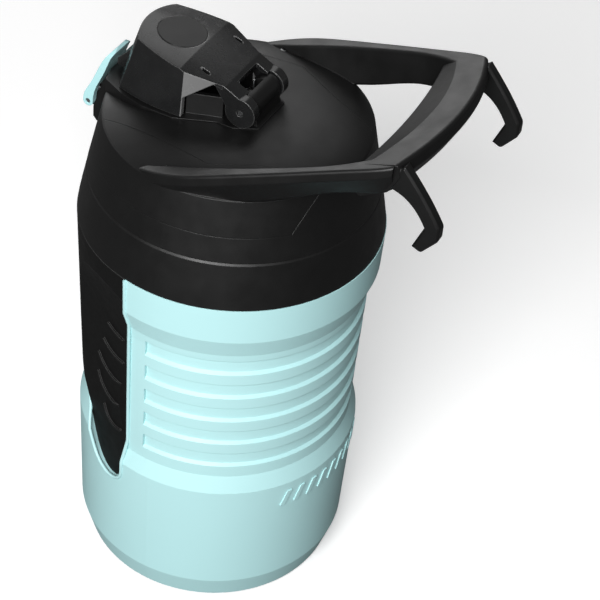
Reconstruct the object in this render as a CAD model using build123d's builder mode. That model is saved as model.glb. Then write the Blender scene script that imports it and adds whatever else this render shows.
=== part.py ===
from build123d import *
from math import cos, radians, sin
import os

os.makedirs("parts", exist_ok=True)

# Large foam-insulated water jug with a screw lid, a flip cap over a wide spout, a front
# latch, and a carrying handle with two hooks.
# Origin: centre of the base. +Z up, spout and latch towards -Y, handle towards +Y.
# All sizes are in millimetres.

# ---- driving dimensions ------------------------------------------------------------

# jug body
body_radius = 72.5        # shell at its widest, just under the collar
shell_top = 203.6         # where the collar begins
liner_bore = 54.5         # inside radius of the water space
liner_wall = 2.0
liner_floor = 12.5        # inside bottom of the water space
foam_gap = 0.2            # foam to the shells around it
joint_gap = 0.1           # between pieces that are welded or seated on each other
base_opening = 60.0       # radius of the hole that the base cap fills
plug_radius = 5.0

# ribbed grip zone
groove_count = 5
groove_top = 169.0        # upper edge of the highest groove
groove_pitch = 15.4
groove_height = 7.7       # height of a groove's flat floor
groove_depth = 1.5
groove_slope = 1.3        # height of the bevel under the floor
groove_half_angle = 94.5  # to each side of the handle's side

# soft grip panel under the spout
panel_wall = 3.0
scoop_azimuth = 64.0      # middle of each finger scoop, measured from the spout
margin_azimuth = 76.0     # middle of the flat beside each scoop
ridge_top = 156.4         # rear end of the highest rib in a scoop
ridge_pitch = 15.0
ridge_height = 0.9
ridge_width = 1.0

# neck and lid thread
neck_bore = 50.5
neck_root = 53.0
neck_crest = 54.9
neck_top = 246.0
lid_thread_root = 55.3
lid_thread_crest = 53.4
thread_base = 232.6       # start of the neck thread
thread_lead = 8.0
thread_turns = 1.25
thread_width = 2.4        # at the root
thread_crest_width = 1.2
thread_offset = 2.9       # lid thread below neck thread, along the axis

# lid
lid_base = 227.4
lid_base_radius = 67.8
lid_rim = 256.6
lid_rim_radius = 61.6
lid_flat_radius = 44.0    # where the dome has nearly levelled out
lid_flat = 261.6
lid_crown = 262.6
lid_wall = 3.0
panel_pocket = 2.5        # handle side panels are let into the lid this deep

# handle: its top lies in a plane that climbs towards the crossbar
handle_level = 263.8      # height of that plane over the jug's axis
handle_slope = 0.375

# spout, cap and latch
spout_y = -34.0
spout_bore = 11.5
spout_root_radius = 16.0
spout_tip_radius = 13.0
spout_tip = 281.0
plinth_top = 263.4
cap_wall = 2.2
hinge_y = 8.0
hinge_z = 270.8
ear_radius = 7.3
ear_inner = 11.2
ear_outer = 16.0
barrel_half = 10.8        # half length of the barrel between the ears
spring_half = 5.0         # half length of the room for the spring inside it
pin_radius = 1.5
barrel_radius = 6.2
window_y = 2.3            # front edge of the window over the barrel
window_half = 8.75
running_gap = 0.05        # radial clearance of each pin in its hole
latch_y = -74.4
latch_z = 239.9
latch_half_width = 8.5
latch_tip = (-62.6, 270.8)
latch_arch = 2.8          # rise of the latch's curved upper edge
latch_eye = 2.6           # radius round the pin hole
latch_pin_radius = 1.2


# ---- shared shapes -----------------------------------------------------------------

def turned(points, arc=360):
    """Solid of revolution about Z from a closed outline of (radius, height) points."""
    with BuildPart() as solid:
        with BuildSketch(Plane.XZ):
            with BuildLine():
                Polyline(*points, close=True)
            make_face()
        revolve(axis=Axis.Z, revolution_arc=arc)
    return solid.part


def side_slab(points, half_width, grow=0.0):
    """Prism across X from a closed outline of (y, z) points."""
    with BuildPart() as solid:
        with BuildSketch(Plane.YZ):
            with BuildLine():
                Polyline(*points, close=True)
            make_face()
            if grow:
                offset(amount=grow, kind=Kind.INTERSECTION)
        extrude(amount=half_width, both=True)
    return solid.part


def plan_slab(half_outline, low, high, grow=0.0):
    """Upright prism, symmetric left and right, from (x, y) points on its +X side."""
    left = [(-x, y) for x, y in reversed(half_outline) if x]
    with BuildPart() as solid:
        with BuildSketch(Plane.XY.offset(low)):
            with BuildLine():
                Polyline(*half_outline, *left, close=True)
            make_face()
            if grow:
                offset(amount=grow, kind=Kind.INTERSECTION)
        extrude(amount=high - low)
    return solid.part


def both_sides(part):
    """The part and its mirror image across the jug's plane of symmetry."""
    with BuildPart() as pair:
        add(part)
        mirror(about=Plane.YZ)
    return pair.part


def rod_x(radius, x_low, x_high, y, z):
    """Round bar along X."""
    with BuildPart() as bar:
        with BuildSketch(Plane.YZ.offset(x_low)):
            with Locations((y, z)):
                Circle(radius)
        extrude(amount=x_high - x_low)
    return bar.part


def upright_tube(outer, inner, low, high, x=0.0, y=0.0):
    """Round tube, or a plain cylinder when inner is zero, standing on Z."""
    with BuildPart() as tube:
        with BuildSketch(Plane.XY.offset(low)):
            with Locations((x, y)):
                Circle(outer)
                if inner:
                    Circle(inner, mode=Mode.SUBTRACT)
        extrude(amount=high - low)
    return tube.part


def radial_plane(azimuth, distance, height):
    """Plane facing away from the jug's axis; azimuth is measured from the spout."""
    direction = Vector(sin(radians(azimuth)), -cos(radians(azimuth)), 0)
    tangent = Vector(cos(radians(azimuth)), sin(radians(azimuth)), 0)
    origin = direction * distance + Vector(0, 0, height)
    return Plane(origin=origin, x_dir=tangent, z_dir=direction)


def thread_rib(root, crest, base, start_angle, inward=False):
    """Helical rib of trapezoid section. It starts a little inside its wall."""
    bite = 0.4 if inward else -0.4
    lean = (thread_width - thread_crest_width) / 2
    with BuildPart() as rib:
        with BuildLine() as path:
            Helix(pitch=thread_lead, height=thread_lead * thread_turns, radius=root)
        start = path.line @ 0
        with BuildSketch(Plane(origin=start, x_dir=(1, 0, 0), z_dir=path.line % 0)):
            with BuildLine():
                Polyline(
                    (bite, -thread_width / 2),
                    (0, -thread_width / 2),
                    (crest - root, -thread_width / 2 + lean),
                    (crest - root, thread_width / 2 - lean),
                    (0, thread_width / 2),
                    (bite, thread_width / 2),
                    close=True,
                )
            make_face()
        sweep(is_frenet=True)
    return Pos(0, 0, base) * Rot(0, 0, start_angle) * rib.part


def finish(part, name, colour):
    """Label a piece, colour it and write its STEP file."""
    part.label = name
    part.color = Color(*colour)
    export_step(part, f"parts/{name}.step")


mint = (0.66, 0.90, 0.90)
black = (0.07, 0.07, 0.08)
dark = (0.16, 0.16, 0.17)
steel = (0.75, 0.76, 0.78)
white = (0.90, 0.91, 0.90)
cream = (0.93, 0.88, 0.70)
smoke = (0.25, 0.26, 0.28)


# ---- jug body: shared solids -------------------------------------------------------

shell_outline = [
    (62.5, 0.0),
    (64.9, 1.4),
    (68.8, 15.5),
    (70.25, 82.6),
    (66.9, 91.5),
    (68.0, 167.0),
    (68.5, 173.0),
    (body_radius - 0.4, 184.3),
    (body_radius, shell_top),
]


def shell_radius(height):
    """Radius of the shell's outside at a height, from its outline."""
    for (r0, z0), (r1, z1) in zip(shell_outline, shell_outline[1:]):
        if z0 <= height <= z1:
            return r0 + (r1 - r0) * (height - z0) / (z1 - z0)
    return body_radius


# space inside the shell, which the foam fills around the liner
cavity_outline = [
    (60.0, 10.0),
    (65.6, 17.0),
    (67.0, 76.0),
    (62.2, 88.0),
    (62.2, 168.0),
    (68.6, 188.0),
    (69.2, shell_top),
]


def cavity_solid(gap):
    """The cavity as a solid, drawn in by a gap, with room for the finger scoops."""
    ring = [(r - gap, z) for r, z in cavity_outline]
    space = turned([(0, cavity_outline[0][1] + gap), *ring, (0, shell_top)])
    with BuildPart() as solid:
        add(space)
        add(scoop_tool(2 * panel_wall + gap), mode=Mode.SUBTRACT)
    return solid.part


def side_cut(azimuth, profile):
    """Cutter on both sides: a (distance, height) profile run level, square to an azimuth."""
    centre = radial_plane(azimuth, 0, 0)
    section = Plane(origin=(0, 0, 0), x_dir=centre.z_dir, z_dir=-centre.x_dir)
    with BuildPart() as tool:
        with BuildSketch(section):
            with BuildLine():
                floor = Spline(*profile)
                Polyline(floor @ 1, (110, profile[-1][1]), (110, profile[0][1]), floor @ 0)
            make_face()
        extrude(amount=80, both=True)
    return both_sides(tool.part)


def scoop_tool(extra):
    """Cuts a finger scoop on each side of the panel, deepened by extra."""
    floor = [
        (76.0, 199.0), (70.0, 189.0), (65.3, 172.0), (63.5, 145.0),
        (63.3, 115.0), (64.6, 88.0), (69.5, 56.0),
    ]
    return side_cut(scoop_azimuth, [(distance - extra, height) for distance, height in floor])


def margin_tool(extra):
    """Shaves the panel flush with the shell beside each scoop, deepened by extra."""
    floor = [
        (75.0, 192.0), (71.6, 184.0), (68.2, 173.0), (67.2, 164.0),
        (66.2, 92.0), (69.6, 82.0), (69.8, 50.0),
    ]
    return side_cut(margin_azimuth, [(distance - extra, height) for distance, height in floor])


# side view (y, z) of the grip panel, which wraps round the spout's side of the jug:
# a straight rear edge, then a curve that sweeps forward and up
panel_rear = [(-15.3, shell_top), (-15.3, 183.5), (-14.4, 174.5), (-14.4, 97.0), (-16.0, 84.0)]
panel_sweep = [
    (-16.0, 84.0), (-16.4, 74.0), (-19.5, 69.0), (-26.0, 67.4), (-34.0, 71.5), (-41.5, 82.5), (-48.6, 98.0),
    (-55.0, 109.0), (-72.0, 115.0),
]
panel_outer = [(0, 60.0), (68.0, 60.0), (68.8, 100.0), (70.5, 150.0), (72.2, shell_top), (0, shell_top)]


def panel_slab():
    """Prism across the jug inside the panel's outline."""
    with BuildPart() as slab:
        with BuildSketch(Plane.YZ):
            with BuildLine():
                rear = Polyline(*panel_rear)
                sweep_line = Spline(*panel_sweep)
                Polyline(sweep_line @ 1, (-90.0, 115.0), (-90.0, shell_top), rear @ 0)
            make_face()
        extrude(amount=90, both=True)
    return slab.part


def panel_core(gap):
    """What lies behind the grip panel: its backing cone, cut back behind each scoop."""
    ring = [(r - panel_wall - gap, z) for r, z in panel_outer[1:-1]]
    with BuildPart() as core:
        add(turned([(0, 60.0), *ring, (0, shell_top)]))
        add(scoop_tool(panel_wall + gap), mode=Mode.SUBTRACT)
    return core.part


def band_bars():
    """Row of plain slanted bars raised on the lower band, under the handle."""
    bar_count = 11
    bar_step = 6.4
    low, high, lean, width = 67.5, 77.0, 3.5, 2.6
    with BuildPart() as bars:
        for index in range(bar_count):
            azimuth = 180 + bar_step * (index - (bar_count - 1) / 2)
            with BuildSketch(radial_plane(azimuth, 66.0, 0)):
                with BuildLine():
                    Polyline(
                        (-width / 2 - lean / 2, low),
                        (width / 2 - lean / 2, low),
                        (width / 2 + lean / 2, high),
                        (-width / 2 + lean / 2, high),
                        close=True,
                    )
                make_face()
            extrude(amount=6)
        raised = 0.6
        cone = [(shell_radius(z) + raised, z) for z in (60.0, 80.0)]
        add(turned([(0, 60.0), *cone, (0, 80.0)]), mode=Mode.INTERSECT)
    return bars.part


def panel_pocket_cut():
    """Pocket in the shell that the grip panel is moulded into."""
    with BuildPart() as pocket:
        add(panel_slab())
        add(panel_core(joint_gap), mode=Mode.SUBTRACT)
    return pocket.part


def groove_cut(top):
    """Groove round the handle's side: square upper edge, flat floor, bevelled lower edge."""
    floor = top - groove_height
    inner = shell_radius(floor) - groove_depth
    outer = body_radius + 5
    drop = groove_slope * (outer - inner) / groove_depth
    section = [(inner, top), (outer, top), (outer, floor - drop), (inner, floor)]
    return Rot(0, 0, 90 - groove_half_angle) * turned(section, arc=2 * groove_half_angle)


def scoop_ridges():
    """Thin curved ribs that stand on the floor of each finger scoop."""
    rear_end = 7.8
    lengths = (12.4, 16.8, 21.4, 21.6, 15.0)
    rises = (1.0, 2.4, 5.2, 7.2, 5.0)
    with BuildPart() as ridges:
        for index, (length, rise) in enumerate(zip(lengths, rises)):
            low = ridge_top - ridge_pitch * index
            with BuildSketch(radial_plane(scoop_azimuth, 58.0, 0)):
                start = (rear_end - length, low + rise)
                middle = (rear_end - 0.68 * length, low - 0.1 * rise)
                curl = ThreePointArc(start, middle, (rear_end, low))
                SlotArc(curl, ridge_width)
            extrude(amount=20)
    return both_sides(ridges.part)


# ---- outer shell: mint jug wall with ribs and a pocket for the grip panel -----------

with BuildPart() as outer_shell:
    add(turned([(0, 0), *shell_outline, (0, shell_top)]))
    add(panel_pocket_cut(), mode=Mode.SUBTRACT)
    for index in range(groove_count):
        add(groove_cut(groove_top - index * groove_pitch), mode=Mode.SUBTRACT)
    add(band_bars())
    add(cavity_solid(0), mode=Mode.SUBTRACT)
    with BuildSketch():
        Circle(base_opening)
    extrude(amount=12, mode=Mode.SUBTRACT)
finish(outer_shell.part, "outer_shell", mint)


# ---- grip panel: rubber, with a ribbed finger scoop on each side --------------------

scoop_cut = scoop_tool(0) - scoop_ridges()
with BuildPart() as grip_panel:
    add(turned(panel_outer))
    add(panel_slab(), mode=Mode.INTERSECT)
    add(panel_core(0), mode=Mode.SUBTRACT)
    add(margin_tool(0), mode=Mode.SUBTRACT)
    add(scoop_tool(-ridge_height), mode=Mode.SUBTRACT)
    add(scoop_cut, mode=Mode.SUBTRACT)
finish(grip_panel.part, "grip_panel", black)


# ---- base cap: dished disc welded into the shell's open bottom ----------------------

with BuildPart() as base_cap:
    rim = base_opening - joint_gap
    add(turned([(0, 1.5), (rim, 1.5), (rim, 9.0), (rim - 3, 9.0), (rim - 3, 4.5), (0, 4.5)]))
    with Locations((0, 0, 1.5)):
        Hole(plug_radius, depth=10)
finish(base_cap.part, "base_cap", mint)


# ---- foam plug: closes the hole that the foam is poured through ---------------------

with BuildPart() as foam_plug:
    stem = plug_radius - joint_gap
    add(turned([
        (0, 0.6), (8.0, 0.6), (8.0, 1.4), (stem, 1.4), (stem, 4.7),
        (stem + 0.9, 5.0), (stem - 0.8, 7.0), (0, 7.0),
    ]))
finish(foam_plug.part, "foam_plug", black)


# ---- inner liner: food-safe bottle with a threaded neck -----------------------------

liner_outer = liner_bore + liner_wall
neck_seat = 57.0          # shoulder of the neck, which plugs the collar

with BuildPart() as inner_liner:
    add(turned([
        (0, liner_floor - liner_wall),
        (liner_outer - 6, liner_floor - liner_wall),
        (liner_outer, liner_floor + 5),
        (liner_outer, 212.0),
        (neck_seat, 214.0),
        (neck_seat, 228.0),
        (neck_root, 228.6),
        (neck_root, neck_top),
        (neck_bore, neck_top),
        (neck_bore, 222.0),
        (liner_bore, 212.0),
        (liner_bore, liner_floor + 6),
        (liner_bore - 6, liner_floor),
        (0, liner_floor),
    ]))
    add(thread_rib(neck_root, neck_crest, thread_base, 0))
finish(inner_liner.part, "inner_liner", white)


# ---- insulation: rigid foam between the shell and the liner -------------------------

with BuildPart() as insulation_foam:
    add(cavity_solid(foam_gap))
    hollow = liner_outer + foam_gap
    add(turned([
        (0, liner_floor - liner_wall - foam_gap),
        (hollow - 6, liner_floor - liner_wall - foam_gap),
        (hollow, liner_floor + 5 - foam_gap),
        (hollow, shell_top),
        (0, shell_top),
    ]), mode=Mode.SUBTRACT)
    add(turned([(65.0, 198.0), (75.0, 198.0), (75.0, 210.0), (65.0, 210.0)]), mode=Mode.SUBTRACT)
finish(insulation_foam.part, "insulation_foam", cream)


# ---- collar: black ring that closes the shell and carries the neck ------------------

collar_top = 226.9

with BuildPart() as collar_ring:
    with BuildSketch(Plane.XZ) as section:
        with BuildLine():
            Spline((72.2, shell_top + 0.2), (71.2, 210.0), (68.8, 222.0), (68.0, 226.0))
            Polyline(
                (68.0, 226.0), (67.2, collar_top), (neck_seat + joint_gap, collar_top),
                (neck_seat + joint_gap, 222.5), (63.0, 222.5), (65.8, 208.0), (65.8, 199.0),
                (68.5, 199.0), (68.5, shell_top + 0.2), (72.2, shell_top + 0.2),
            )
        make_face()
    revolve(axis=Axis.Z)
finish(collar_ring.part, "collar_ring", black)


# ---- lid: shared solids -------------------------------------------------------------

def lid_solid(inset):
    """Solid under the lid's domed outer surface, drawn in by inset on every side."""
    side = inset * 1.02
    rim = (lid_rim_radius - 0.8 - side, lid_rim + 0.5 - inset * 0.75)
    crown_point = (0, lid_crown - inset)
    with BuildPart() as solid:
        with BuildSketch(Plane.XZ):
            with BuildLine():
                Polyline(
                    crown_point,
                    (0, lid_base),
                    (lid_base_radius - side, lid_base),
                    (lid_rim_radius - side, lid_rim - inset * 0.75),
                    rim,
                )
                Spline(rim, (lid_flat_radius, lid_flat - inset), crown_point, tangents=((-1, 0.42), (-1, 0)))
            make_face()
        revolve(axis=Axis.Z)
    return solid.part


def handle_region(grow):
    """Space on both sides of the lid that the handle's side panels fill."""
    plan = [(34.5, -66.0), (36.5, -50.0), (44.0, 9.0), (34.5, 25.0), (29.5, 35.0), (22.0, 57.5), (20.0, 80.0)]
    side = [
        (-60.0, 272.0), (-53.5, 254.0), (-46.0, 244.6), (-35.0, 239.5),
        (50.0, 239.5), (54.3, 253.0), (60.0, 272.0),
    ]
    with BuildPart() as region:
        with BuildSketch(Plane.XY.offset(230)):
            with BuildLine():
                Polyline(*plan, (90.0, 80.0), (90.0, -66.0), close=True)
            make_face()
            if grow:
                offset(amount=grow, kind=Kind.INTERSECTION)
        extrude(amount=60)
        add(side_slab(side, 100, grow=grow), mode=Mode.INTERSECT)
    return both_sides(region.part)


screw_places = [(54.0, -6.0), (54.2, 4.0)]
screw_radius = 1.6
screw_head_radius = 2.6
screw_end = 259.5


# ---- lid shell ----------------------------------------------------------------------

pocket_cut = handle_region(joint_gap) - lid_solid(panel_pocket + joint_gap)
thickening = handle_region(2.2) - lid_solid(panel_pocket + 2.0)
lid_void = lid_solid(lid_wall) - thickening

with BuildPart() as lid_shell:
    add(lid_solid(0))
    add(lid_void, mode=Mode.SUBTRACT)
    with BuildSketch():
        Circle(lid_base_radius - lid_wall)
    extrude(amount=lid_base + 4, mode=Mode.SUBTRACT)
    for x, y in screw_places:
        for side in (-x, x):
            add(upright_tube(4.0, 0, 252.7, 258.0, side, y))
    add(pocket_cut, mode=Mode.SUBTRACT)
    for x, y in screw_places:
        for side in (-x, x):
            add(upright_tube(screw_radius + 0.15, 0, 240, 270, side, y), mode=Mode.SUBTRACT)
    add(upright_tube(spout_root_radius + 0.3, 0, 250, 270, 0, spout_y), mode=Mode.SUBTRACT)
finish(lid_shell.part, "lid_shell", black)


# ---- lid liner: threaded ring and floor inside the lid ------------------------------

floor_low = 248.0
floor_high = 250.4
ring_outer = 57.4

with BuildPart() as lid_liner:
    add(turned([
        (0, floor_low), (lid_thread_root, floor_low), (lid_thread_root, 229.2),
        (lid_base_radius - lid_wall - 0.8, 229.2), (lid_base_radius - lid_wall - 1.0, 231.0),
        (ring_outer, 231.0), (ring_outer, floor_high), (0, floor_high),
    ]))
    opposite = thread_base - thread_offset + thread_lead / 2
    add(thread_rib(lid_thread_root, lid_thread_crest, opposite, 180, inward=True))
    add(upright_tube(spout_bore, 0, 240, 260, 0, spout_y), mode=Mode.SUBTRACT)
finish(lid_liner.part, "lid_liner", white)


# ---- lid gasket ---------------------------------------------------------------------

with BuildPart() as lid_gasket:
    add(turned([
        (neck_bore, neck_top + 0.05), (lid_thread_root - 0.2, neck_top + 0.05),
        (lid_thread_root - 0.2, floor_low - 0.05), (neck_bore, floor_low - 0.05),
    ]))
finish(lid_gasket.part, "lid_gasket", dark)


# ---- handle: side panels let into the lid, two arms, a bowed bar and two hooks ------

def top_plane(y, depth=0.0):
    """Height of the handle's top plane at y, less a depth."""
    return handle_level + handle_slope * y - depth


def lofted(planes, outlines, radius):
    """Solid lofted through closed outlines with rounded corners, one on each plane."""
    with BuildPart() as solid:
        for plane, corners in zip(planes, outlines):
            with BuildSketch(plane) as section:
                with BuildLine():
                    Polyline(*corners, close=True)
                make_face()
                fillet(section.vertices(), radius)
        loft()
    return solid.part


def arm():
    """One arm, lofted through sections that rise out of the lid's shoulder."""
    # each row: y, outer top, under the outer band, underside, inner foot, inner top;
    # the last one dives just under the bar's top
    sections = [
        (-24.0, (57.0, 254.8), (57.2, 250.8), (54.5, 247.0), (48.0, 247.0), (53.0, 254.8)),
        (-8.0, (61.4, 260.8), (61.7, 256.0), (59.0, 248.5), (48.0, 249.0), (55.0, 260.8)),
        (8.0, (62.9, 266.8), (63.1, 261.8), (58.5, 252.0), (50.0, 250.0), (54.5, 266.8)),
        (24.0, (61.0, 272.8), (61.2, 267.8), (56.0, 256.5), (50.0, 252.0), (54.0, 272.8)),
        (40.0, (58.4, 278.8), (58.6, 273.8), (53.6, 262.0), (48.8, 256.5), (52.4, 278.8)),
        (56.0, (55.7, 284.8), (55.9, 279.8), (50.8, 269.5), (46.6, 264.5), (50.3, 284.8)),
        (72.0, (52.8, 290.8), (53.0, 285.8), (48.0, 277.0), (43.4, 273.0), (46.4, 290.8)),
        (94.0, (47.6, 298.65), (47.8, 294.05), (44.0, 285.6), (36.0, 282.0), (36.0, 298.65)),
    ]
    planes = [Plane.XZ.offset(-section[0]) for section in sections]
    outlines = [section[1:] for section in sections]
    return lofted(planes, outlines, 1.4)


def crossbar():
    """Bar between the arms, bowed away from the jug, with a scooped inner edge."""
    places = (-46.0, -31.0, -15.5, 0.0, 15.5, 31.0, 46.0)
    outlines = []
    for x in places:
        bow = (x / 44.0) ** 2
        inner, crease, outer = 80.0 - 4 * bow, 91.0 - 9 * bow, 104.0 - 8 * bow
        outlines.append([
            (inner, top_plane(inner, 4)),
            (crease, top_plane(crease)),
            (outer, top_plane(outer)),
            (outer + 1.5, top_plane(outer + 1.5, 6.5)),
            (outer - 3.0, top_plane(outer - 3, 14)),
            (inner + 4.0, top_plane(inner + 4, 17)),
        ])
    return lofted([Plane.YZ.offset(x) for x in places], outlines, 1.6)


hook_inner = 40.0
hook_outer = 45.6


def hook():
    """Flat hook under one end of the bar, curling back towards the jug."""
    with BuildPart() as solid:
        with BuildSketch(Plane.YZ.offset(hook_inner)) as sketch:
            with BuildLine():
                back = Spline((98.0, 299.0), (104.4, 291.8), (111.8, 282.4), (116.9, 274.6))
                Polyline(back @ 1, (117.0, 268.4), (110.0, 259.4), (105.8, 261.2), (110.0, 272.6))
                front = Spline((110.0, 272.6), (106.0, 278.4), (101.0, 282.9), (94.0, 285.8))
                Polyline(front @ 1, (90.0, 292.0), back @ 0)
            make_face()
            fillet(sketch.vertices().group_by(Axis.Y)[0], 1.8)
            fillet(sketch.vertices().sort_by(Axis.X)[-2:], 3.6)
        extrude(amount=hook_outer - hook_inner)
        faces = solid.faces().filter_by(Axis.X)
        chamfer(faces.edges(), 0.9)
    return solid.part


with BuildPart() as handle:
    add(lid_solid(0))
    add(handle_region(0), mode=Mode.INTERSECT)
    add(both_sides(arm()))
    add(crossbar())
    add(both_sides(hook()))
    add(lid_solid(panel_pocket), mode=Mode.SUBTRACT)
    for x, y in screw_places:
        for side in (-x, x):
            add(upright_tube(screw_radius + 0.03, 0, 240, screw_end + 0.3, side, y), mode=Mode.SUBTRACT)
finish(handle.part, "handle", black)


# ---- handle screws: two on each side, driven up from inside the lid -----------------

with BuildPart() as handle_screws:
    for x, y in screw_places:
        for side in (-x, x):
            add(upright_tube(screw_head_radius, 0, 250.8, 252.65, side, y))
            add(upright_tube(screw_radius, 0, 252.6, screw_end, side, y))
finish(handle_screws.part, "handle_screws", steel)


# ---- spout base: plinth on the lid, hinge tower behind the spout, latch bracket -----

plinth_outline = [
    (0, -61.8), (9.0, -61.8), (17.5, -59.5), (23.0, -48.0), (26.0, -36.0),
    (26.0, -20.0), (17.8, -2.0), (17.8, 6.0), (12.0, 16.0), (0, 16.0),
]
tower_outline = [(0, -17.0), (19.4, -17.0), (13.6, -1.5), (0, -1.5)]
bracket_outline = [
    (-56.0, 260.0), (-63.4, 260.0), (-66.1, 254.0), (-68.7, 246.0), (-70.8, 239.0),
    (-70.8, 233.5), (-69.0, 231.5), (-60.0, 231.5),
]
bracket_half_width = 9.5
lug_half_width = 5.0

with BuildPart() as spout_base:
    add(plan_slab(plinth_outline, 245, plinth_top))
    add(side_slab(bracket_outline, bracket_half_width))
    add(plan_slab(tower_outline, plinth_top - 1, 274.0))
    add(plan_slab(tower_outline, plinth_top + 1, 280.0, grow=-cap_wall), mode=Mode.SUBTRACT)
    # hinge block and its barrel
    add(side_slab([(1.0, 262.0), (14.6, 262.0), (13.4, hinge_z), (1.8, hinge_z)], barrel_half))
    add(lid_solid(-joint_gap), mode=Mode.SUBTRACT)
    add(rod_x(barrel_radius, -barrel_half, barrel_half, hinge_y, hinge_z))
    add(rod_x(4.9, -spring_half, spring_half, hinge_y, hinge_z), mode=Mode.SUBTRACT)
    spring_mouth = [(0, hinge_z), (hinge_y, hinge_z), (hinge_y, 279), (0, 279)]
    add(side_slab(spring_mouth, spring_half), mode=Mode.SUBTRACT)
    add(rod_x(pin_radius + running_gap, -12, 12, hinge_y, hinge_z), mode=Mode.SUBTRACT)
    # lug for the latch pin, slotted for the latch spring
    add(rod_x(3.6, -lug_half_width, lug_half_width, latch_y, latch_z))
    add(side_slab([(-74.4, 236.3), (-70, 234.5), (-69, 247), (-73.0, 243.2)], lug_half_width))
    add(side_slab([(-80, 234), (-71.0, 234), (-71.0, 246), (-80, 246)], 2.2), mode=Mode.SUBTRACT)
    add(rod_x(latch_pin_radius + running_gap, -12, 12, latch_y, latch_z), mode=Mode.SUBTRACT)
    # bore for the spout
    add(upright_tube(spout_root_radius + 0.3, 0, 240, 290, 0, spout_y), mode=Mode.SUBTRACT)
finish(spout_base.part, "spout_base", black)


# ---- spout: tapered drinking spout held by a flange inside the lid -------------------

def spout_ring(points):
    """Solid turned about the spout's own axis."""
    return Pos(0, spout_y, 0) * turned(points)


with BuildPart() as spout:
    add(spout_ring([
        (spout_bore, 252.05), (19.0, 252.05), (19.0, 254.0), (spout_root_radius, 254.0),
        (spout_root_radius, 267.0), (spout_tip_radius, 278.0), (spout_tip_radius, spout_tip - 0.8),
        (spout_tip_radius - 0.8, spout_tip), (spout_tip_radius - 2.0, spout_tip), (spout_bore - 1, 276.0),
    ]))
finish(spout.part, "spout", black)

with BuildPart() as spout_gasket:
    add(spout_ring([(12.5, 250.5), (18.0, 250.5), (18.0, 252.0), (12.5, 252.0)]))
finish(spout_gasket.part, "spout_gasket", dark)


# ---- spout cap: smoky shell, open underneath, arched at the sides, with two ears ----

cap_low = plinth_top + 0.3
cap_high = 294.0          # above the cap's top, before it is cut to its crowns
disc_y = -30.9
disc_z = 290.2
disc_radius = 11.3
disc_slope = -0.11
catch_y = -59.6

# the three facets of the cap's top, each a (y, height) point on its crest and its slope
cap_crowns = [(disc_y, disc_z, disc_slope), (-17.2, 288.3, -0.33), (1.8, 281.8, -0.50)]


def cap_outline(corner, front, cheek, shoulder, inset):
    """Plan of the cap: bowed front, bulging cheeks, flats that narrow to the ears."""
    corner = (corner[0] - inset, corner[1] + inset)
    front = front + inset
    cheek = (cheek[0] - inset, cheek[1])
    shoulder = (shoulder[0] - inset, shoulder[1] - inset / 2)
    ear = ear_outer - inset
    with BuildSketch() as outline:
        with BuildLine():
            ThreePointArc((-corner[0], corner[1]), (0, front), corner)
            ThreePointArc(corner, cheek, shoulder)
            Polyline(
                shoulder, (ear, -1.0 - inset), (ear, 16.0),
                (-ear, 16.0), (-ear, -1.0 - inset), (-shoulder[0], shoulder[1]),
            )
            ThreePointArc((-shoulder[0], shoulder[1]), (-cheek[0], cheek[1]), (-corner[0], corner[1]))
        make_face()
    return outline.sketch


def crown(height, y, slope, radius, inset):
    """Large cylinder whose crest runs fore and aft through a point; it rounds the cap's top."""
    outward = Vector(0, -slope, 1).normalized()
    axis_point = Vector(0, y, height) - outward * (radius + inset)
    axis_plane = Plane(origin=axis_point, x_dir=(1, 0, 0), z_dir=(0, 1, slope))
    with BuildPart() as log:
        with BuildSketch(axis_plane):
            Circle(radius)
        extrude(amount=150, both=True)
    return log.part


def cap_body(inset):
    """Solid inside the cap's outer surface, drawn in by inset."""
    with BuildPart() as body:
        add(Pos(0, 0, cap_low - 1) * cap_outline((19.6, -51.3), -57.2, (23.6, -35.0), (24.0, -17.4), inset))
        add(Pos(0, 0, cap_high) * cap_outline((16.3, -43.0), -48.0, (19.4, -31.0), (21.6, -17.2), inset))
        loft(ruled=True)
        for y, height, slope in cap_crowns:
            add(crown(height, y, slope, 140.0, inset), mode=Mode.INTERSECT)
        add(side_slab([(-90, 250), (hinge_y, 250), (hinge_y, 300), (-90, 300)], 40), mode=Mode.INTERSECT)
    return body.part


def disc_seat(radius, low, high):
    """Short cylinder square to the cap's sloping top, centred on the disc's place."""
    top = Plane(origin=(0, disc_y, disc_z - 0.3), x_dir=(1, 0, 0), z_dir=(0, -disc_slope, 1))
    with BuildPart() as seat:
        with BuildSketch(top.offset(low)):
            Circle(radius)
        extrude(amount=high - low)
    return seat.part


arch_cut = [
    (-17.0, 260.0), (-17.0, 273.4), (-5.0, 282.0), (1.0, 278.6),
    (hinge_y, 275.0), (20, 275.0), (20, 260),
]
window = [(0, window_y), (window_half, window_y), (window_half, 30), (0, 30)]

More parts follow.
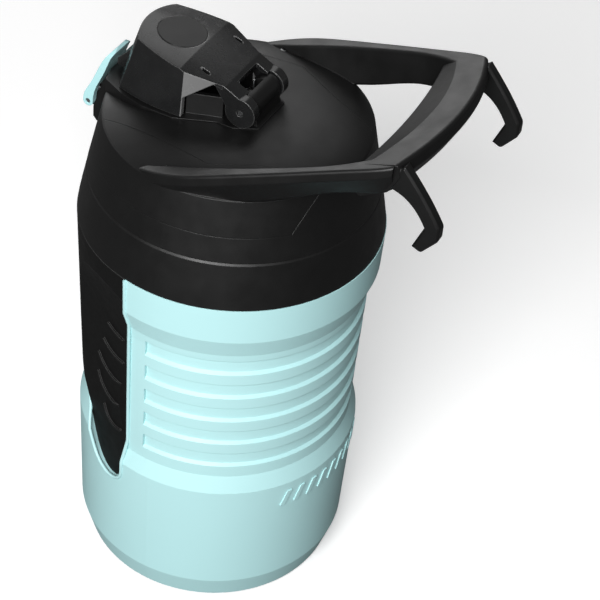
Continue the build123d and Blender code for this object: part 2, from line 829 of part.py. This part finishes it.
with BuildPart() as spout_cap:
    add(cap_body(0))
    add(cap_body(cap_wall), mode=Mode.SUBTRACT)
    add(side_slab(arch_cut, 40), mode=Mode.SUBTRACT)
    add(side_slab([(-90, 250), (20, 250), (20, cap_low), (-90, cap_low)], 40), mode=Mode.SUBTRACT)
    # ears round the hinge pin
    for low, high in ((-ear_outer, -ear_inner), (ear_inner, ear_outer)):
        add(rod_x(ear_radius, low, high, hinge_y, hinge_z))
        rib = [(-6.0, 282.6), (1.0, 280.4), (hinge_y, 277.6), (hinge_y - 7.0, hinge_z + 1)]
        add(Pos((low + high) / 2, 0, 0) * side_slab(rib, (ear_outer - ear_inner) / 2))
    add(rod_x(pin_radius + running_gap, -20, 20, hinge_y, hinge_z), mode=Mode.SUBTRACT)
    # window over the barrel, and room for the barrel to turn in
    add(plan_slab(window, 262, 300), mode=Mode.SUBTRACT)
    add(rod_x(barrel_radius + 0.5, -ear_inner, ear_inner, hinge_y, hinge_z), mode=Mode.SUBTRACT)
    # catch that the latch closes over
    add(side_slab([(-53.0, 276.0), (catch_y, 268.8), (catch_y, 265.5), (-55.0, 264.5)], 7.0))
    # seat for the disc, and two vent slots
    add(disc_seat(disc_radius, -1.2, 5.0), mode=Mode.SUBTRACT)
    for x in (-14.7, 14.7):
        with BuildSketch(Plane.XY.offset(280)):
            with Locations((x, -10.8)):
                SlotOverall(5.0, 1.8, rotation=90)
        extrude(amount=20, mode=Mode.SUBTRACT)
finish(spout_cap.part, "spout_cap", smoke)

with BuildPart() as cap_disc:
    add(disc_seat(disc_radius - joint_gap, -1.15, 0.15))
    fillet(cap_disc.faces().sort_by(Axis.Z)[-1].edges(), 0.2)
finish(cap_disc.part, "cap_disc", black)


# ---- cap seal: silicone plug on the cap's underside that closes the spout -----------

with BuildPart() as cap_seal:
    add(spout_ring([
        (0, spout_tip + 0.1), (spout_tip_radius - 0.5, spout_tip + 0.1), (spout_tip_radius - 0.5, 283.0),
        (8.0, 283.6), (8.0, 292.0), (0, 292.0),
    ]))
    add(cap_body(cap_wall + joint_gap), mode=Mode.INTERSECT)
finish(cap_seal.part, "cap_seal", dark)


# ---- hinge pin and the torsion spring that flips the cap open -----------------------

with BuildPart() as hinge_pin:
    add(rod_x(pin_radius, -ear_outer + 0.4, ear_outer - 0.4, hinge_y, hinge_z))
    chamfer(hinge_pin.edges().filter_by(GeomType.CIRCLE), 0.3)
finish(hinge_pin.part, "hinge_pin", steel)


def torsion_spring(coil_radius, wire, turns, y, z, leg_length, first_angle):
    """Coil about a pin along X with a straight leg at each end, tangent to the coil."""
    pitch = wire * 2.4
    half = turns * pitch / 2
    with BuildPart() as spring:
        with BuildLine() as path:
            coil = Helix(pitch=pitch, height=2 * half, radius=coil_radius)
        with BuildSketch(Plane(origin=coil @ 0, z_dir=coil % 0)):
            Circle(wire)
        sweep(is_frenet=True)
        with BuildSketch(Plane(origin=coil @ 0, z_dir=-(coil % 0))):
            Circle(wire)
        extrude(amount=leg_length)
        with BuildSketch(Plane(origin=coil @ 1, z_dir=coil % 1)):
            Circle(wire)
        extrude(amount=leg_length)
    return Pos(0, y, z) * Rot(first_angle, 0, 0) * Rot(0, 90, 0) * Pos(0, 0, -half) * spring.part


with BuildPart() as hinge_spring:
    add(torsion_spring(3.2, 0.45, 3.75, hinge_y, hinge_z, 6.3, 270))
finish(hinge_spring.part, "hinge_spring", steel)


# ---- latch: mint lever with two legs, its pin and its spring -------------------------

with BuildPart() as latch:
    with BuildSketch(Plane.YZ):
        with BuildLine():
            outer = Spline(
                (latch_y - latch_eye, latch_z), (-73.8, 249.2), (-69.0, 260.0), latch_tip,
                tangents=((0, 1), (1, 1)),
            )
            inner = Spline(
                (latch_tip[0] + 0.9, latch_tip[1] - 1.3), (-63.6, 265.0), (-66.8, 256.6),
                (latch_y + latch_eye, latch_z), tangents=((-1, -2), (0, -1)),
            )
            Line(outer @ 1, inner @ 0)
            ThreePointArc(inner @ 1, (latch_y, latch_z - latch_eye), outer @ 0)
        make_face()
    extrude(amount=latch_half_width, both=True)
    # arched upper edge
    with BuildSketch(Plane.XZ):
        with BuildLine():
            shoulder = latch_tip[1] - latch_arch
            ThreePointArc((-latch_half_width, shoulder), (0, latch_tip[1]), (latch_half_width, shoulder))
            Polyline((latch_half_width, shoulder), (latch_half_width, 230), (-latch_half_width, 230),
                     (-latch_half_width, shoulder))
        make_face()
    extrude(amount=100, both=True, mode=Mode.INTERSECT)
    # gap between the legs, clear of the lug
    gap = [(-85, 230), (-60, 230), (-60, 249.5), (-85, 249.5)]
    add(side_slab(gap, lug_half_width + 0.3), mode=Mode.SUBTRACT)
    add(rod_x(latch_pin_radius + running_gap, -20, 20, latch_y, latch_z), mode=Mode.SUBTRACT)
finish(latch.part, "latch", mint)

with BuildPart() as latch_pin:
    add(rod_x(latch_pin_radius, -latch_half_width + 0.3, latch_half_width - 0.3, latch_y, latch_z))
finish(latch_pin.part, "latch_pin", steel)

with BuildPart() as latch_spring:
    add(torsion_spring(2.0, 0.3, 3.5, latch_y, latch_z, 4.5, 270))
finish(latch_spring.part, "latch_spring", steel)
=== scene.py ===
from math import cos, radians, sin

import bpy
from mathutils import Matrix, Vector


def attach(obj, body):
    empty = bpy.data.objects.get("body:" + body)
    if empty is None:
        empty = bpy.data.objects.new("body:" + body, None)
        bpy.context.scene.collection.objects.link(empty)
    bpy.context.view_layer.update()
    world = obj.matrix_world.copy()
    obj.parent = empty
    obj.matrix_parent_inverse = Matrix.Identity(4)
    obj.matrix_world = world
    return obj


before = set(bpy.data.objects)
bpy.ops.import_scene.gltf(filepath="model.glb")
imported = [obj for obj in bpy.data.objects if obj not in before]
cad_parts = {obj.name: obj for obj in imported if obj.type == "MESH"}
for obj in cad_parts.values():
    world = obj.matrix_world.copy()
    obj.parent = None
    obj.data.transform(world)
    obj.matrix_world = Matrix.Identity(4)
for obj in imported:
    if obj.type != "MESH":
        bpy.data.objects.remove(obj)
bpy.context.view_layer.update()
scene = bpy.context.scene

# Large water jug: the looks of each CAD piece, the bead round the grip panel and the studio
# that the jug stands in. Metres, origin at the centre of the base, spout towards -Y.
# The outlines of the panel bead are in millimetres, and MM turns them into metres.

MM = 0.001

# Sockets of Blender's Mix node, whose colour and float sockets share their names.
MIX_SHARE = 0
COLOUR_A, COLOUR_B, COLOUR_RESULT = 6, 7, 2
FLOAT_A, FLOAT_B, FLOAT_RESULT = 2, 3, 0


# ---- node helpers --------------------------------------------------------------------

class Recipe:
    """A material being built: its node tree, its shader and the frame's coordinates."""

    def __init__(self, name):
        self.material = bpy.data.materials.new(name)
        self.material.use_nodes = True
        self.nodes = self.material.node_tree.nodes
        self.links = self.material.node_tree.links
        self.shader = self.nodes["Principled BSDF"]
        self.place = self.nodes.new("ShaderNodeTexCoord").outputs["Object"]
        self.bumps = []

    def set(self, **values):
        """Set inputs of the shader; a socket is linked, a plain value is written."""
        for key, value in values.items():
            self.feed(self.shader.inputs[key.replace("_", " ")], value)

    def feed(self, socket, value):
        """Link a socket into an input, or write a plain value to it."""
        if isinstance(value, bpy.types.NodeSocket):
            self.links.new(value, socket)
        else:
            socket.default_value = value

    def noise(self, size, detail=3.0, stretch=(1, 1, 1), roughness=0.5):
        """Noise between 0 and 1 whose blobs are about this size, in metres."""
        mapping = self.nodes.new("ShaderNodeMapping")
        self.feed(mapping.inputs["Vector"], self.place)
        mapping.inputs["Scale"].default_value = stretch
        noise = self.nodes.new("ShaderNodeTexNoise")
        self.feed(noise.inputs["Vector"], mapping.outputs["Vector"])
        noise.inputs["Scale"].default_value = 1 / size
        noise.inputs["Detail"].default_value = detail
        noise.inputs["Roughness"].default_value = roughness
        return noise.outputs["Fac"]

    def cells(self, size):
        """Rounded cells about this size, for the pores of foam and the pebbles of rubber."""
        cells = self.nodes.new("ShaderNodeTexVoronoi")
        cells.feature = "SMOOTH_F1"
        self.feed(cells.inputs["Vector"], self.place)
        cells.inputs["Scale"].default_value = 1 / size
        return cells.outputs["Distance"]

    def spread(self, value, low, high, from_low=0.3, from_high=0.7):
        """Map a 0 to 1 value onto the range from low to high."""
        spread = self.nodes.new("ShaderNodeMapRange")
        self.feed(spread.inputs["Value"], value)
        spread.inputs["From Min"].default_value = from_low
        spread.inputs["From Max"].default_value = from_high
        spread.inputs["To Min"].default_value = low
        spread.inputs["To Max"].default_value = high
        return spread.outputs["Result"]

    def between(self, value, first, second):
        """Colour that runs from first to second as value goes from 0.3 to 0.7."""
        return self.blend(self.spread(value, 0, 1), first, second)

    def blend(self, share, first, second):
        """Colour that runs from first to second as share goes from 0 to 1."""
        mix = self.nodes.new("ShaderNodeMix")
        mix.data_type = "RGBA"
        self.feed(mix.inputs[MIX_SHARE], share)
        self.feed(mix.inputs[COLOUR_A], first)
        self.feed(mix.inputs[COLOUR_B], second)
        return mix.outputs[COLOUR_RESULT]

    def painted_through_light(self):
        """1 on the cap's two thin flats behind its cheeks, where light shining through the
        plastic is painted in as a paler colour.
        """
        axes = self.nodes.new("ShaderNodeSeparateXYZ")
        self.feed(axes.inputs["Vector"], self.place)
        facing = self.nodes.new("ShaderNodeTexCoord").outputs["Normal"]
        normal = self.nodes.new("ShaderNodeSeparateXYZ")
        self.feed(normal.inputs["Vector"], facing)
        ahead_of_ears = self.spread(axes.outputs["Y"], 1, 0, -5 * MM, -4 * MM)
        turned_back = self.spread(normal.outputs["Y"], 0, 1, 0.30, 0.36)
        upright = self.spread(normal.outputs["Z"], 1, 0, 0.25, 0.30)
        return self.product(ahead_of_ears, self.product(turned_back, upright))

    def product(self, first, second):
        """Product of two shares, which is 1 only where both are 1."""
        product = self.nodes.new("ShaderNodeMath")
        product.operation = "MULTIPLY"
        self.feed(product.inputs[0], first)
        self.feed(product.inputs[1], second)
        return product.outputs["Value"]

    def bump(self, height, depth):
        """Add a bump of a depth in metres; bumps stack in the order they are added."""
        bump = self.nodes.new("ShaderNodeBump")
        self.feed(bump.inputs["Height"], height)
        bump.inputs["Distance"].default_value = depth
        if self.bumps:
            self.feed(bump.inputs["Normal"], self.bumps[-1])
        self.bumps.append(bump.outputs["Normal"])

    def rounded_normal(self, radius):
        """Surface direction as if every sharp edge had this radius, in metres."""
        bevel = self.nodes.new("ShaderNodeBevel")
        bevel.samples = 6
        bevel.inputs["Radius"].default_value = radius
        return bevel.outputs["Normal"]

    def soften_edges(self, radius):
        """Round every sharp edge in the shading, as a moulded edge is."""
        self.bumps.append(self.rounded_normal(radius))

    def edges(self, radius):
        """1 on each sharp edge and 0 on open faces, for a painted highlight: paler colour where
        light would catch the edge.
        """
        agreement = self.nodes.new("ShaderNodeVectorMath")
        agreement.operation = "DOT_PRODUCT"
        self.feed(agreement.inputs[0], self.rounded_normal(radius))
        self.feed(agreement.inputs[1], self.nodes.new("ShaderNodeNewGeometry").outputs["Normal"])
        return self.spread(agreement.outputs["Value"], 1, 0, from_low=0.80, from_high=0.99)

    def done(self):
        """The finished material, with its bumps joined to the shader."""
        if self.bumps:
            self.links.new(self.bumps[-1], self.shader.inputs["Normal"])
        return self.material


def grey(value, tint=0.0):
    """Linear grey; a tint above 0 takes red out and puts blue in by that share."""
    return (value * (1 - tint), value, value * (1 + tint), 1)


# ---- materials -----------------------------------------------------------------------

def moulded_plastic(name, colour, darker, roughness, grain, grain_size, edge, gloss=0.5):
    """Moulded plastic: fine spark-eroded grain, faint flow marks and uneven sheen."""
    recipe = Recipe(name)
    recipe.soften_edges(edge)
    flow_marks = recipe.noise(60 * MM, detail=4, stretch=(1, 1, 0.35))
    recipe.set(Base_Color=recipe.between(flow_marks, colour, darker))
    sheen = recipe.noise(9 * MM, detail=5)
    recipe.set(Roughness=recipe.spread(sheen, roughness - 0.04, roughness + 0.05))
    recipe.set(Specular_IOR_Level=gloss)
    recipe.bump(recipe.noise(grain_size, detail=2), grain)
    slight_waves = recipe.noise(14 * MM)
    recipe.bump(slight_waves, 0.02 * MM)
    return recipe.done()


mint = moulded_plastic(
    "mint_polyethylene", (0.48, 0.77, 0.785, 1), (0.47, 0.755, 0.77, 1),
    roughness=0.42, grain=0.010 * MM, grain_size=0.5 * MM, edge=0.35 * MM,
)
black = moulded_plastic(
    "black_polypropylene", grey(0.0035), grey(0.0028),
    roughness=0.43, grain=0.015 * MM, grain_size=0.45 * MM, edge=0.4 * MM, gloss=0.45,
)
latch_mint = moulded_plastic(
    "mint_latch_plastic", (0.47, 0.77, 0.79, 1), (0.45, 0.75, 0.77, 1),
    roughness=0.28, grain=0.008 * MM, grain_size=0.4 * MM, edge=0.4 * MM,
)
white = moulded_plastic(
    "food_grade_white", (0.78, 0.79, 0.77, 1), (0.75, 0.76, 0.73, 1),
    roughness=0.4, grain=0.008 * MM, grain_size=0.5 * MM, edge=0.4 * MM,
)


def soft_rubber():
    """Over-moulded grip rubber: dull, with a pebbled skin and a painted highlight that makes each
    sharp edge slightly paler.
    """
    recipe = Recipe("grip_rubber")
    recipe.soften_edges(0.4 * MM)
    skin = recipe.between(recipe.noise(22 * MM), grey(0.0045), grey(0.006))
    # Painted highlight: sharp edges, such as the ribs in the finger scoop, get a paler colour
    # standing in for light catching them.
    recipe.set(Base_Color=recipe.blend(recipe.edges(0.7 * MM), skin, grey(0.06)))
    recipe.set(Roughness=recipe.spread(recipe.noise(5 * MM, detail=4), 0.5, 0.6))
    recipe.set(Specular_IOR_Level=0.16)
    pebbles = recipe.cells(0.55 * MM)
    recipe.bump(pebbles, 0.03 * MM)
    return recipe.done()


def silicone():
    """Dark silicone of the seals: smooth, slightly waxy."""
    recipe = Recipe("seal_silicone")
    recipe.soften_edges(0.3 * MM)
    recipe.set(Base_Color=recipe.between(recipe.noise(8 * MM), grey(0.02), grey(0.026)))
    recipe.set(Roughness=recipe.spread(recipe.noise(3 * MM), 0.34, 0.42))
    recipe.bump(recipe.noise(1.5 * MM), 0.01 * MM)
    return recipe.done()


def rigid_foam():
    """Cream polyurethane foam with fine open pores."""
    recipe = Recipe("cream_foam")
    cream, deeper_cream = (0.80, 0.70, 0.46, 1), (0.74, 0.63, 0.40, 1)
    recipe.set(Base_Color=recipe.between(recipe.noise(12 * MM), cream, deeper_cream))
    recipe.set(Roughness=0.9)
    large_pores, small_pores = recipe.cells(1.1 * MM), recipe.cells(0.4 * MM)
    recipe.bump(large_pores, 0.3 * MM)
    recipe.bump(small_pores, 0.1 * MM)
    return recipe.done()


def smoky_plastic():
    """Polished smoke-grey cap: a hard gloss coat over dark plastic with swirl marks."""
    recipe = Recipe("smoke_grey_gloss")
    recipe.soften_edges(0.8 * MM)
    swirl = recipe.noise(16 * MM, detail=4, roughness=0.6)
    smoke = recipe.between(swirl, grey(0.006, 0.03), grey(0.010, 0.03))
    # Painted highlight: the cap's sharp edges get a paler colour standing in for light catching
    # them.
    smoke = recipe.blend(recipe.edges(0.6 * MM), smoke, grey(0.10))
    # Painted light: the cap's thin flats get a paler base colour standing in for light shining
    # through them.
    recipe.set(Base_Color=recipe.blend(recipe.painted_through_light(), smoke, grey(0.15)))
    recipe.set(Roughness=recipe.spread(recipe.noise(4 * MM, detail=4), 0.22, 0.30))
    recipe.set(Coat_Weight=0.3, Coat_Roughness=0.1, IOR=1.5)
    recipe.bump(recipe.noise(18 * MM), 0.015 * MM)
    return recipe.done()


def drawn_steel():
    """Stainless wire and pins, with fine marks along X from drawing."""
    recipe = Recipe("drawn_steel")
    recipe.soften_edges(0.2 * MM)
    marks = recipe.noise(0.25 * MM, detail=3, stretch=(0.06, 1, 1))
    recipe.set(Base_Color=recipe.between(marks, grey(0.56, 0.02), grey(0.46, 0.02)))
    recipe.set(Metallic=1.0, Roughness=recipe.spread(marks, 0.22, 0.34))
    recipe.bump(marks, 0.006 * MM)
    return recipe.done()


finishes = {
    mint: ["outer_shell", "base_cap"],
    black: ["lid_shell", "collar_ring", "handle", "spout_base", "spout", "foam_plug", "cap_disc"],
    soft_rubber(): ["grip_panel"],
    white: ["inner_liner", "lid_liner"],
    rigid_foam(): ["insulation_foam"],
    silicone(): ["lid_gasket", "spout_gasket", "cap_seal"],
    smoky_plastic(): ["spout_cap"],
    latch_mint: ["latch"],
    drawn_steel(): ["handle_screws", "hinge_pin", "hinge_spring", "latch_pin", "latch_spring"],
}
for material, names in finishes.items():
    for name in names:
        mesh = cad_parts[name].data
        mesh.materials.clear()
        mesh.materials.append(material)


# ---- bead round the mouth of the grip panel ------------------------------------------

def passing(t, a, b, c, d):
    """Catmull-Rom curve from b to c as t goes from 0 to 1, with a before and d after."""
    square_term = 2 * a - 5 * b + 4 * c - d
    cube_term = 3 * b - a - 3 * c + d
    return 0.5 * (2 * b + (c - a) * t + square_term * t * t + cube_term * t ** 3)


def smooth_path(points, steps):
    """Points along a smooth curve that passes through the given (y, z) points."""
    path = []
    padded = [points[0], *points, points[-1]]
    for before, start, end, after in zip(padded, padded[1:], padded[2:], padded[3:]):
        for step in range(steps):
            share = step / steps
            path.append(tuple(
                passing(share, *places) for places in zip(before, start, end, after)
            ))
    return [*path, points[-1]]


def shell_radius(height):
    """Radius of the shell's outside at a height, along straight walls between its corners."""
    corners = [
        (68.8, 15.5), (70.25, 82.6), (66.9, 91.5), (68.0, 167.0),
        (68.5, 173.0), (72.1, 184.3), (72.5, 203.6),
    ]
    for (low_radius, low), (high_radius, high) in zip(corners, corners[1:]):
        if height <= high:
            return low_radius + (high_radius - low_radius) * (height - low) / (high - low)
    top_radius, _ = corners[-1]
    return top_radius


def bead_path():
    """Points in millimetres on the shell's wall: down the +X side, past the front and up."""
    rear_edge = [(-15.3, 203.2), (-15.3, 183.5), (-14.4, 174.5), (-14.4, 97.0), (-16.0, 84.0)]
    lower_edge = [
        rear_edge[-1], (-16.4, 74.0), (-19.5, 69.0), (-26.0, 67.4), (-34.0, 71.5),
        (-41.5, 82.5), (-48.6, 98.0), (-55.0, 109.0), (-66.0, 113.6),
    ]
    front_height = 114.2
    side = []
    for y, z in [*rear_edge, *smooth_path(lower_edge, 6)[1:]]:
        radius = shell_radius(z)
        side.append(Vector((max(radius ** 2 - y ** 2, 0) ** 0.5, y, z)))
    front = Vector((0, -shell_radius(front_height), front_height))
    return [*side, front, *(Vector((-p.x, p.y, p.z)) for p in reversed(side))]


def panel_bead():
    """Thin moulded bead on the shell along the panel's edge, down one side and up the other."""
    path = bead_path()
    curve = bpy.data.curves.new("panel_bead", "CURVE")
    curve.dimensions = "3D"
    curve.bevel_depth = 0.9 * MM
    curve.bevel_resolution = 3
    curve.use_fill_caps = True
    line = curve.splines.new("POLY")
    line.points.add(len(path) - 1)
    for point, place in zip(line.points, path):
        point.co = (*(place * MM), 1)
    template = bpy.data.objects.new("panel_bead_path", curve)
    mesh = bpy.data.meshes.new_from_object(template)
    bpy.data.objects.remove(template)
    mesh.name = "panel_bead"
    mesh.materials.append(mint)
    mesh.shade_smooth()
    bead = bpy.data.objects.new("panel_bead", mesh)
    scene.collection.objects.link(bead)
    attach(bead, "jug")


panel_bead()


# ---- studio --------------------------------------------------------------------------

def pale_floor():
    """Large pale matt floor that glows a little. Only the camera sees it white and glowing,
    so it lights the black parts less and they stay dark."""
    mesh = bpy.data.meshes.new("floor")
    half = 6.0
    corners = [(-half, -half, 0), (half, -half, 0), (half, half, 0), (-half, half, 0)]
    mesh.from_pydata(corners, [], [(0, 1, 2, 3)])
    floor = bpy.data.objects.new("floor", mesh)
    scene.collection.objects.link(floor)
    recipe = Recipe("pale_floor")
    seen = recipe.nodes.new("ShaderNodeLightPath").outputs["Is Camera Ray"]
    pale = recipe.between(recipe.noise(0.4), grey(0.97), grey(0.95))
    recipe.set(Base_Color=recipe.blend(seen, grey(0.12), pale))
    recipe.set(Roughness=0.9, Specular_IOR_Level=0.1)
    glow = recipe.spread(seen, 0, 0.22, from_low=0, from_high=1)
    recipe.set(Emission_Color=grey(1.0), Emission_Strength=glow)
    mesh.materials.append(recipe.done())


def soft_box(name, place, target, width, height, watts):
    """Rectangular area light that faces a target."""
    light = bpy.data.lights.new(name, "AREA")
    light.shape = "RECTANGLE"
    light.size, light.size_y, light.energy = width, height, watts
    lamp = bpy.data.objects.new(name, light)
    scene.collection.objects.link(lamp)
    lamp.location = place
    lamp.rotation_euler = (Vector(target) - Vector(place)).to_track_quat("-Z", "Y").to_euler()


def around(azimuth, distance, height):
    """Point at an azimuth seen from above: 0 in front of the spout, 90 on the +X side."""
    angle = radians(azimuth)
    return Vector((sin(angle) * distance, -cos(angle) * distance, height))


def studio_world():
    """White for the camera, softer grey for everything the object reflects."""
    world = bpy.data.worlds.new("studio")
    scene.world = world
    world.use_nodes = True
    nodes, links = world.node_tree.nodes, world.node_tree.links
    background = nodes["Background"]
    ray = nodes.new("ShaderNodeLightPath")
    strength = nodes.new("ShaderNodeMix")
    strength.inputs[FLOAT_A].default_value = 0.15
    strength.inputs[FLOAT_B].default_value = 1.0
    links.new(ray.outputs["Is Camera Ray"], strength.inputs[MIX_SHARE])
    links.new(strength.outputs[FLOAT_RESULT], background.inputs["Strength"])
    background.inputs["Color"].default_value = grey(1.0)


def camera():
    """Three-quarter view from above the handle's side, pitched down, turned and rolled."""
    azimuth, distance, height = 116.4, 0.6754, 0.7508
    pitch, yaw, roll = radians(41.656), radians(3.067), radians(6.335)
    data = bpy.data.cameras.new("camera")
    data.sensor_width, data.lens = 36.0, 111.4
    data.clip_start, data.clip_end = 0.05, 20.0
    camera = bpy.data.objects.new("camera", data)
    scene.collection.objects.link(camera)
    place = around(azimuth, distance, height)
    inward = Vector((-place.x, -place.y, 0)).normalized()
    across = Vector((inward.y, -inward.x, 0))
    level = inward * cos(yaw) + across * sin(yaw)
    forward = level * cos(pitch) - Vector((0, 0, sin(pitch)))
    right = (across * cos(yaw) - inward * sin(yaw)).normalized()
    up = right.cross(forward)
    right, up = right * cos(roll) + up * sin(roll), up * cos(roll) - right * sin(roll)
    turn = Matrix((right, up, -forward)).transposed().to_4x4()
    camera.matrix_world = Matrix.Translation(place) @ turn
    scene.camera = camera


pale_floor()
studio_world()
middle, lid, handle = (0, 0, 0.15), (0, 0, 0.25), (0, 0, 0.28)
soft_box("key_softbox", around(102, 1.3, 1.0), middle, width=0.9, height=0.8, watts=32)
soft_box("far_softbox", around(-45, 1.5, 0.78), handle, width=1.2, height=0.5, watts=5.5)
soft_box("top_softbox", around(-70, 1.1, 1.4), lid, width=0.8, height=0.6, watts=2)
soft_box("front_softbox", around(0, 1.5, 0.9), middle, width=0.4, height=0.9, watts=1)
camera()
scene.view_settings.view_transform = "Standard"
